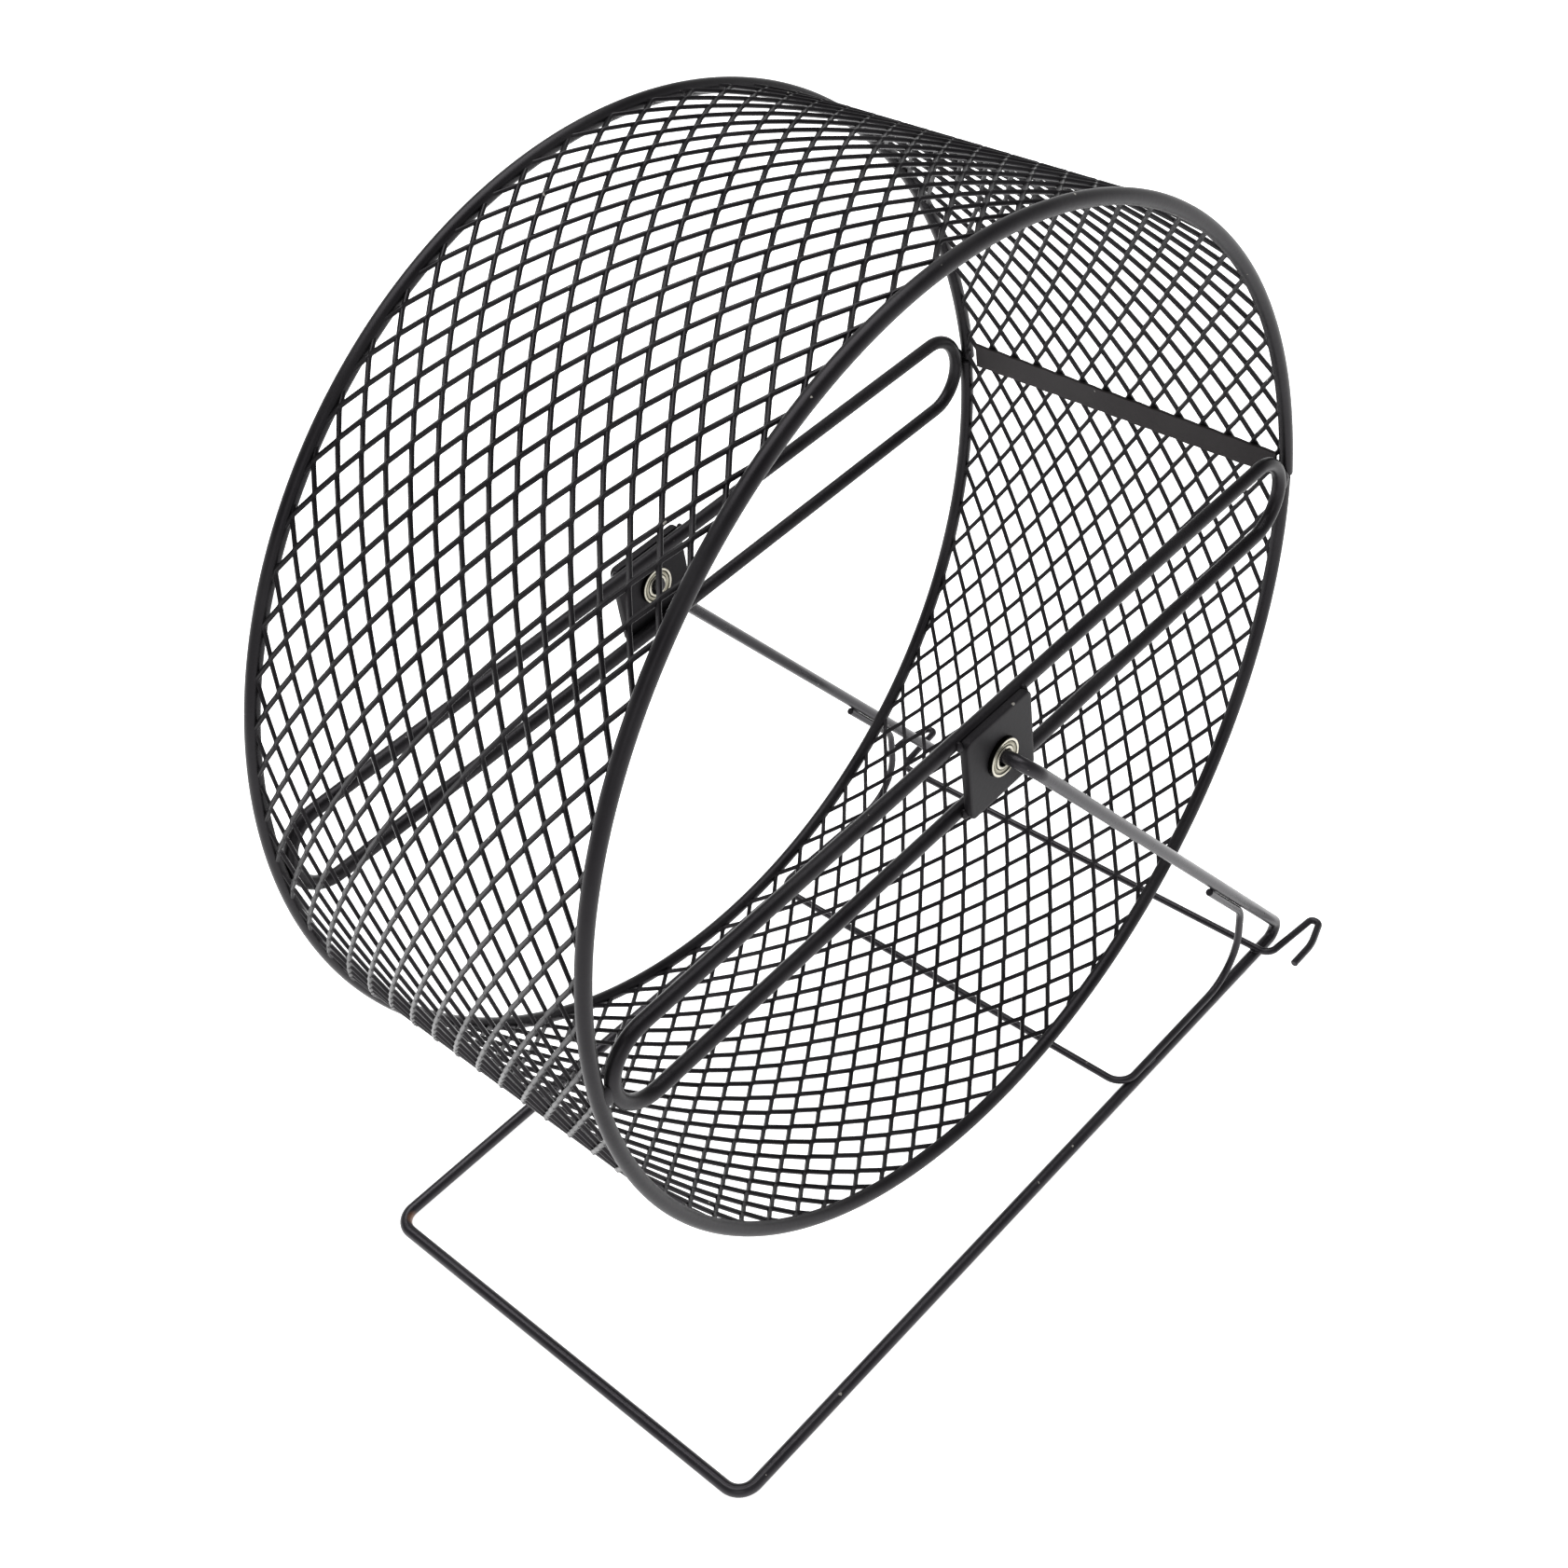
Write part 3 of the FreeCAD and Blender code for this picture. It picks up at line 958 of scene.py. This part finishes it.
def brace_corners(context):
    """Corners of the brace's near half: under the arm, at the knee, on the leg and at its crossing."""
    sizes = context.scene.wheel_stand
    plane = leg_plane(context)
    shoulder = np.array([0.0, -plane, shoulder_height(context)])
    foot = np.array([sizes.back_reach, -plane, sizes.wire / 2])
    down_arm = unit(foot - shoulder)
    apart = (sizes.wire + sizes.thin_wire) / 2 + WELD_GAP
    under_arm = np.array([down_arm[2], 0.0, -down_arm[0]]) * apart
    return [
        shoulder + down_arm * sizes.brace_tip + under_arm,
        shoulder + down_arm * sizes.brace_knee + under_arm,
        np.array([sizes.brace_heel, -plane, thin_height(sizes)]),
        np.array([sizes.brace_crossing, -plane, thin_height(sizes)]),
    ]


class WHEEL_OT_brace(bpy.types.Operator):
    """Thin wire from under each arm down to the leg, along it and across"""

    bl_idname = "wheel.brace"
    bl_label = "Brace wire"

    def execute(self, context):
        sizes = context.scene.wheel_stand
        # Radii at the knee, at the heel and where the wire turns to cross
        bends = [8 * MM, 16.5 * MM, 6 * MM]
        path = bent_path(both_sides(brace_corners(context)), bends + bends[::-1])
        shape = wire(path, sizes.thin_wire, sides=16)
        piece("brace_bent_wire", [shape], coat("stand"), "stand", "stand_coat", "brace_wire")
        return {"FINISHED"}


class WHEEL_OT_hooks(bpy.types.Operator):
    """Thin wire across both legs, with a hairpin hook beyond each of them"""

    bl_idname = "wheel.hooks"
    bl_label = "Hook wire"

    def execute(self, context):
        sizes = context.scene.wheel_stand
        height = thin_height(sizes)
        run = leg_plane(context) + sizes.hook_out
        hairpin = run + sizes.hook_splay
        back = hairpin + sizes.hairpin_width
        near = [
            (sizes.hook_tip, -back - sizes.belly_splay, height),
            (sizes.hook_belly, -back - sizes.belly_splay, height),
            (sizes.hook_hairpin, -back, height),
            (sizes.hook_hairpin, -hairpin, height),
            (sizes.hook_crossing, -run, height),
        ]
        # Radii at the bow, at the hairpin's two corners and where the wire turns to cross
        bends = [20 * MM, 1.8 * MM, 1.6 * MM, 4 * MM]
        path = bent_path(both_sides(near), bends + bends[::-1])
        shape = wire(path, sizes.thin_wire, Z_AXIS, sides=16)
        piece("hook_bent_wire", [shape], coat("stand"), "stand", "stand_coat", "hook_wire")
        return {"FINISHED"}


class WHEEL_OT_welds(bpy.types.Operator):
    """Weld beads where loops meet hoops, plates meet loops, and thin wires meet the stand"""

    bl_idname = "wheel.welds"
    bl_label = "Weld beads"

    def execute(self, context):
        hoops = context.scene.wheel_hoops
        sizes = context.scene.wheel_stand
        wheel_beads = []
        for side, facing in SIDES.items():
            tilt = hoops.path_resolve(side + "_tilt")
            for end in (-1.0, 1.0):
                out = np.array([end * math.cos(tilt), 0.0, end * math.sin(tilt)])
                along = np.array([-out[2], 0.0, out[0]])
                place = AXLE + out * (LOOP_TIP + HOOP_WIRE / 2) + facing * (LOOP_PLANE + 0.4 * MM) * Y_AXIS
                wheel_beads.append(bead(place, along, out, (3.2 * MM, 1.7 * MM, 1.1 * MM), end + facing))
                for bar in (-1.0, 1.0):
                    corner = np.array([[end * hoops.plate_side / 2, 0.0, bar * hoops.bar_spacing / 2]])
                    lift = facing * (PLATE_PLANE - PLATE_THICKNESS / 2)
                    place = on_axle(corner, lift, tilt)[0]
                    size = (1.6 * MM, 0.9 * MM, 1.3 * MM)
                    wheel_beads.append(bead(place, Z_AXIS, out, size, end + 2 * bar))
        piece("wheel_weld_beads", wheel_beads, coat("wheel"), "wheel", "wheel_coat")
        stand_beads = []
        tip, knee = brace_corners(context)[:2]
        down_arm = unit(knee - tip)
        between = np.array([-down_arm[2], 0.0, down_arm[0]]) * sizes.thin_wire / 2
        plane = leg_plane(context)
        for facing in SIDES.values():
            mirror = np.array([1.0, -facing, 1.0])
            arm_weld = (tip + down_arm * 3 * MM + between) * mirror
            stand_beads.append(bead(arm_weld, down_arm, Y_AXIS, (2.6 * MM, 1.25 * MM, 0.7 * MM), facing))
            leg_weld = np.array([sizes.brace_crossing + 14 * MM, facing * plane, sizes.wire])
            stand_beads.append(bead(leg_weld, X_AXIS, Y_AXIS, (3.4 * MM, 1.2 * MM, 0.6 * MM), 1 + facing))
            hook_weld = np.array([sizes.hook_crossing, facing * plane, sizes.wire])
            stand_beads.append(bead(hook_weld, Y_AXIS, X_AXIS, (1.5 * MM, 1.5 * MM, 0.6 * MM), 2 + facing))
        piece("stand_weld_beads", stand_beads, coat("stand"), "stand", "stand_coat")
        return {"FINISHED"}


def set_up(name, data, place, right, up, back):
    """Put a lamp or the camera at its place, with its own axes pointing right, up and back."""
    made = bpy.data.objects.new(name, data)
    axes = np.stack([right, up, back], 1)
    made.matrix_world = Matrix(np.vstack([np.column_stack([axes, place]), [0, 0, 0, 1]]).tolist())
    bpy.context.scene.collection.objects.link(made)
    return made


class WHEEL_OT_stage(bpy.types.Operator):
    """Pale floor, soft studio light and the camera"""

    bl_idname = "wheel.stage"
    bl_label = "Stage"

    def execute(self, context):
        scene = context.scene
        floor_reach = 6.0
        corners = floor_reach * np.array([(-1, -1, 0), (1, -1, 0), (1, 1, 0), (-1, 1, 0)], float)
        mesh = bpy.data.meshes.new("floor")
        mesh.from_pydata(corners.tolist(), [], [(0, 1, 2, 3)])
        mesh.materials.append(finish("white_studio_paper", floor_paper, tuple(scene.wheel_finishes.floor)))
        floor = bpy.data.objects.new("floor", mesh)
        scene.collection.objects.link(floor)
        scene.view_settings.view_transform = "Standard"
        world = bpy.data.worlds.new("soft_white_room")
        world.use_nodes = True
        tree = world.node_tree
        tree.nodes.clear()
        # The room is white at the height of the floor's edge and dims towards its ceiling
        direction = add(tree, "ShaderNodeTexCoord").outputs["Generated"]
        height = add(tree, "ShaderNodeSeparateXYZ", {"Vector": direction})
        brightness = add(
            tree,
            "ShaderNodeMapRange",
            {"Value": height.outputs["Z"], "From Min": 0.12, "From Max": 0.55, "To Min": 1.0, "To Max": 0.3},
        )
        walls = add(
            tree,
            "ShaderNodeBackground",
            {"Color": linear("#ffffff"), "Strength": brightness.outputs["Result"]},
        )
        add(tree, "ShaderNodeOutputWorld", {"Surface": walls.outputs["Background"]})
        scene.world = world
        for name, place, size, power in (
            ("overhead_softbox", (0.1, 0.4, 1.8), 1.6, 34.0),
            ("front_softbox", (-1.4, -0.9, 1.2), 0.9, 4.0),
        ):
            light = bpy.data.lights.new(name, "AREA")
            light.size = size
            light.energy = power
            back = unit(np.array(place) - AXLE)
            right = unit(np.cross(Z_AXIS + 0.01 * X_AXIS, back))
            set_up(name, light, place, right, np.cross(back, right), back)
        azimuth, elevation, roll = (math.radians(degrees) for degrees in (-42.822, 42.191, -7.443))
        back = np.array(
            [
                math.sin(azimuth) * math.cos(elevation),
                -math.cos(azimuth) * math.cos(elevation),
                math.sin(elevation),
            ]
        )
        right = np.array([math.cos(azimuth), math.sin(azimuth), 0.0])
        up = np.cross(back, right)
        rolled_right = math.cos(roll) * right + math.sin(roll) * up
        rolled_up = math.cos(roll) * up - math.sin(roll) * right
        place = AXLE + np.array([-302.17, -308.01, 349.08]) * MM
        camera = bpy.data.cameras.new("photo_camera")
        camera.sensor_width = 36.0
        camera.lens = 47.474
        camera.clip_start = 10 * MM
        scene.camera = set_up("photo_camera", camera, place, rolled_right, rolled_up, back)
        return {"FINISHED"}


class WHEEL_PT_pieces(bpy.types.Panel):
    """Sizes, finishes and pieces of the exercise wheel"""

    bl_idname = "WHEEL_PT_pieces"
    bl_label = "Exercise wheel"
    bl_space_type = "VIEW_3D"
    bl_region_type = "UI"
    bl_category = "Wheel"

    def draw(self, context):
        for group in PROPERTY_GROUPS:
            box = self.layout.box()
            settings = context.scene.path_resolve(group)
            for key in settings.bl_rna.properties.keys():
                if key not in ("rna_type", "name"):
                    box.prop(settings, key)
        for operator in OPERATORS:
            self.layout.operator(operator.bl_idname)


PROPERTY_GROUPS = {
    "wheel_drum": WheelDrumSizes,
    "wheel_hoops": WheelHoopSizes,
    "wheel_bearings": WheelBearingSizes,
    "wheel_stand": WheelStandSizes,
    "wheel_finishes": WheelFinishes,
}
OPERATORS = (
    WHEEL_OT_drum,
    WHEEL_OT_hoops,
    WHEEL_OT_loops,
    WHEEL_OT_plates,
    WHEEL_OT_bearings,
    WHEEL_OT_strip,
    WHEEL_OT_stand,
    WHEEL_OT_brace,
    WHEEL_OT_hooks,
    WHEEL_OT_welds,
    WHEEL_OT_stage,
)


def register():
    """Make the classes known, and hang their settings on the scene."""
    for made in (*PROPERTY_GROUPS.values(), *OPERATORS, WHEEL_PT_pieces):
        bpy.utils.register_class(made)
    for name, group in PROPERTY_GROUPS.items():
        setattr(bpy.types.Scene, name, bpy.props.PointerProperty(type=group))


def unregister():
    """Take the settings and the classes away again."""
    for name in PROPERTY_GROUPS:
        delattr(bpy.types.Scene, name)
    for made in (*PROPERTY_GROUPS.values(), *OPERATORS, WHEEL_PT_pieces):
        bpy.utils.unregister_class(made)


def main():
    """Build every piece and the stage."""
    register()
    for operator in OPERATORS:
        group, name = operator.bl_idname.split(".")
        getattr(getattr(bpy.ops, group), name)()


if __name__ == "__main__":
    main()
